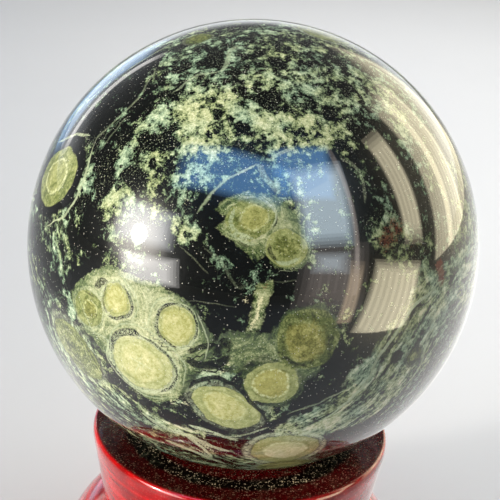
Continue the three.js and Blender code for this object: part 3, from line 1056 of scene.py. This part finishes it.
def lacquer_material():
    """Glossy dark red lacquer, its dish painted darker as shade, with dust lying on it, most of it in the
    dish.
    """
    shade = Shade(bpy.data.materials.new("red_lacquer_gloss"))
    place = shade.millimetres()
    x, y, z = shade.split(place)
    flat = shade.vector(x, y, 0.0)
    radius = shade.add("ShaderNodeVectorMath", {0: flat}, operation="LENGTH").outputs["Value"]
    turned = shade.noise(shade.vector(shade.times(radius, 1.2), shade.times(z, 1.2), 0.0), 1.0, 3)
    cloudy = shade.noise(place, 0.22, 4, 0.6)
    tone = shade.ease(shade.plus(shade.times(turned, 0.5), shade.times(cloudy, 0.5)), 0.36, 0.64)
    tint = shade.mix(tone, LACQUER_DARK, LACQUER_RED)
    # The dish is painted dark red as shade, for the sphere's shadow and the dark stone mirrored in it,
    # mottled at random, with a painted black ring of deeper shade where the dust lies thickest
    in_dish = shade.times(shade.ease(z, *DISH_HEIGHTS), shade.ease(radius, *DISH_EDGE))
    wavy_radius = shade.plus(radius, shade.centred(shade.noise(place, 0.4, 3), 1.2))
    ring = shade.times(in_dish, shade.window(wavy_radius, *DUST_AND_SHADE_RING, 0.3))
    patchy_shade = shade.ease(shade.noise(place, 2.6, 5, 0.75), 0.36, 0.54)
    tint = shade.mix(in_dish, tint, shade.mix(patchy_shade, DISH_PAINTED_SHADE, DISH_SHADED_RED))
    tint = shade.mix(ring, tint, DISH_PAINTED_SHADE)
    coarse = shade.specks(place, scale=2.8, radius=0.42, share=0.24)
    dust = shade.plus(coarse, shade.specks(place, scale=5.0, radius=0.46, share=0.26))
    amount = shade.plus(shade.times(in_dish, 0.34), shade.times(ring, 0.9))
    drifts = shade.ease(shade.noise(place, 0.6, 3), 0.4, 0.58, 0.25, 1.0)
    amount = shade.plus(shade.times(amount, drifts), 0.03)
    tint = shade.mix(shade.times(shade.math("MINIMUM", dust, 1.0), amount), tint, DUST)
    unevenness = shade.noise(place, 0.8, 4, 0.6)
    bump = shade.add("ShaderNodeBump", {"Strength": 0.25, "Distance": 0.05 * MM, "Height": unevenness})
    return shade.finish(Base_Color=tint, Roughness=shade.ease(dust, 0.0, 1.0, 0.22, 0.5), IOR=1.5,
                        Specular_IOR_Level=0.05, Coat_Weight=1.0, Coat_IOR=1.34, Coat_Roughness=0.03,
                        Normal=bump.outputs["Normal"], Coat_Normal=bump.outputs["Normal"])


def floor_material():
    """A plain pale matt floor."""
    shade = Shade(bpy.data.materials.new("floor_pale"))
    tint = shade.mix(shade.noise(shade.millimetres(), 0.01, 3), FLOOR_PALE, FLOOR_SHADE)
    return shade.finish(Base_Color=tint, Roughness=0.6)


def make_floor():
    """The pale floor that the stand rests on."""
    corners = [(x * FLOOR_HALF, y * FLOOR_HALF, 0) for x, y in ((-1, -1), (1, -1), (1, 1), (-1, 1))]
    floor = make_mesh("floor", corners, [(0, 1, 2, 3)])
    floor.data.materials.append(floor_material())


def make_camera():
    """The camera, turned so that the sphere's centre falls where the frame wants it."""
    forward = -(VIEW_BACK + VIEW_RIGHT * (SPHERE_PIXEL_RIGHT / FOCAL_PIXELS)
                + VIEW_UP * (SPHERE_PIXEL_UP / FOCAL_PIXELS)).normalized()
    right = forward.cross(VIEW_UP).normalized()
    up = right.cross(forward)
    data = bpy.data.cameras.new("camera")
    data.sensor_width = SENSOR_MM
    data.lens = FOCAL_PIXELS / FRAME_PIXELS * SENSOR_MM
    data.clip_start = CLIP_START
    data.dof.use_dof = False
    camera = add_object("camera", data)
    turn = Matrix((right, up, -forward)).transposed().to_4x4()
    camera.matrix_world = Matrix.Translation(CAMERA_PLACE) @ turn
    bpy.context.scene.camera = camera


def mirrored_direction(right, up):
    """The direction that the stone mirrors to the camera at a place on its front, and that place."""
    arc = math.radians(math.hypot(right, up))
    turn = math.atan2(up, right)
    sideways = VIEW_RIGHT * math.cos(turn) + VIEW_UP * math.sin(turn)
    normal = sideways * math.sin(arc) + VIEW_BACK * math.cos(arc)
    spot = SPHERE_CENTRE + normal * SPHERE_RADIUS
    to_camera = (CAMERA_PLACE - spot).normalized()
    return normal * (2 * normal.dot(to_camera)) - to_camera, spot


def facing(direction, turn=0.0):
    """The rotation of a light that shines along a direction and is turned about it."""
    return direction.to_track_quat("-Z", "Y") @ Matrix.Rotation(turn, 3, "Z").to_quaternion()


def area_light(name, place, direction, size, radiance, tint, turn=0.0):
    """An oblong light at a place in metres that shines along a direction, its brightness as radiance."""
    data = bpy.data.lights.new(name, "AREA")
    data.shape = "RECTANGLE"
    data.size, data.size_y = size
    data.energy = radiance * math.pi * size[0] * size[1]
    data.color = tint
    light = add_object(name, data)
    light.location = place
    light.rotation_mode = "QUATERNION"
    light.rotation_quaternion = facing(direction, turn)
    return light


def layer_sizes(soft):
    """The sizes of a soft-edged light's layers, as shares of its own size, from the smallest up."""
    return [1 + soft * (2 * layer / (LAYERS - 1) - 1) for layer in range(LAYERS)]


def add_box(box):
    """A box that is only mirrored, in layers of growing size for its soft edges, the first one in slats."""
    direction, spot = mirrored_direction(box.right, box.up)
    turn = math.radians(box.turn)
    sideways = facing(-direction, turn) @ Vector((1, 0, 0))
    # Each layer stands a little farther off, so that no two lie in one plane
    for layer, grown in enumerate(layer_sizes(box.soft)):
        slats = box.slats if layer == 0 else 1
        pitch = box.wide / slats
        size = (pitch * grown * (SLAT_SHARE if slats > 1 else 1), box.high * grown)
        middle = spot + direction * (box.distance + LAYER_GAP * layer)
        for slat in range(slats):
            place = middle + sideways * (pitch * (slat - (slats - 1) / 2))
            name = f"{box.name}_{layer + 1}_{slat + 1}"
            light = area_light(name, place, -direction, size, box.radiance / LAYERS, box.tint, turn)
            light.visible_diffuse = False


def add_glow(glow):
    """A glow on the floor that is only mirrored, in layers of growing size for its soft edges."""
    for layer, grown in enumerate(layer_sizes(GLOW_SOFT)):
        name = f"{glow.name}_{layer + 1}"
        place = Vector((glow.x, glow.y, GLOW_HEIGHT + GLOW_GAP * layer))
        size = (glow.wide * grown, glow.deep * grown)
        light = area_light(name, place, STRAIGHT_UP, size, glow.radiance / LAYERS, NEAR_WHITE)
        light.visible_diffuse = False


def add_key():
    """The warm key: a round spot low on the left, its beam just wide enough for the object."""
    direction, spot = mirrored_direction(*KEY_SPOT)
    data = bpy.data.lights.new("warm_key", "SPOT")
    data.energy = KEY_POWER
    data.color = KEY_TINT
    data.shadow_soft_size = KEY_RADIUS
    data.spot_size = math.radians(KEY_BEAM)
    data.spot_blend = KEY_BLEND
    light = add_object("warm_key", data)
    light.location = spot + direction * KEY_DISTANCE
    light.rotation_mode = "QUATERNION"
    light.rotation_quaternion = facing(SPHERE_CENTRE - light.location)


def add_lights():
    """The key, soft boxes and glows that are only mirrored, and a wide soft box over the floor."""
    add_key()
    for box in BOXES:
        add_box(box)
    for glow in GLOWS:
        add_glow(glow)
    over = area_light("floor_box", FLOOR_BOX_PLACE, STRAIGHT_DOWN, FLOOR_BOX_SIZE, FLOOR_BOX_RADIANCE, WHITE)
    over.visible_glossy = False
    for light in bpy.context.scene.objects:
        if light.type == "LIGHT":
            light.visible_camera = False


def make_world():
    """A soft surround: dim, but for a pale band low behind the object and a warm glow round the key."""
    shade = Shade(bpy.data.worlds.new("studio"))
    toward = shade.add("ShaderNodeTexCoord").outputs["Generated"]
    _, y, z = shade.split(toward)
    band = shade.times(shade.ease(y, *BAND_BEHIND), shade.ease(z, *BAND_HEIGHTS, *BAND_LIGHTS))
    key = {0: toward, 1: mirrored_direction(*KEY_SPOT)[0]}
    nearness = shade.add("ShaderNodeVectorMath", key, operation="DOT_PRODUCT").outputs["Value"]
    # The glow falls off as a cube
    glow = shade.math("POWER", shade.ease(nearness, KEY_GLOW_START, 1.0, 0.0, KEY_GLOW ** (1 / 3)), 3)
    surround = {"Color": BAND_TINT, "Strength": shade.plus(band, SURROUND_LIGHT)}
    around_key = {"Color": KEY_GLOW_TINT, "Strength": glow}
    lights = [shade.add("ShaderNodeBackground", light).outputs[0] for light in (surround, around_key)]
    both = shade.add("ShaderNodeAddShader", {0: lights[0], 1: lights[1]})
    shade.add("ShaderNodeOutputWorld", {"Surface": both.outputs[0]})
    bpy.context.scene.world = shade.owner


def dress(piece, node, material):
    """Puts a piece in place of its solid, with its material."""
    piece.data.materials.append(material)
    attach(piece, "root")
    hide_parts(node)


dress(make_stone(), "sphere", stone_material())
dress(make_stand(), "stand", lacquer_material())
make_floor()
make_camera()
add_lights()
make_world()
bpy.context.scene.view_settings.view_transform = "Standard"
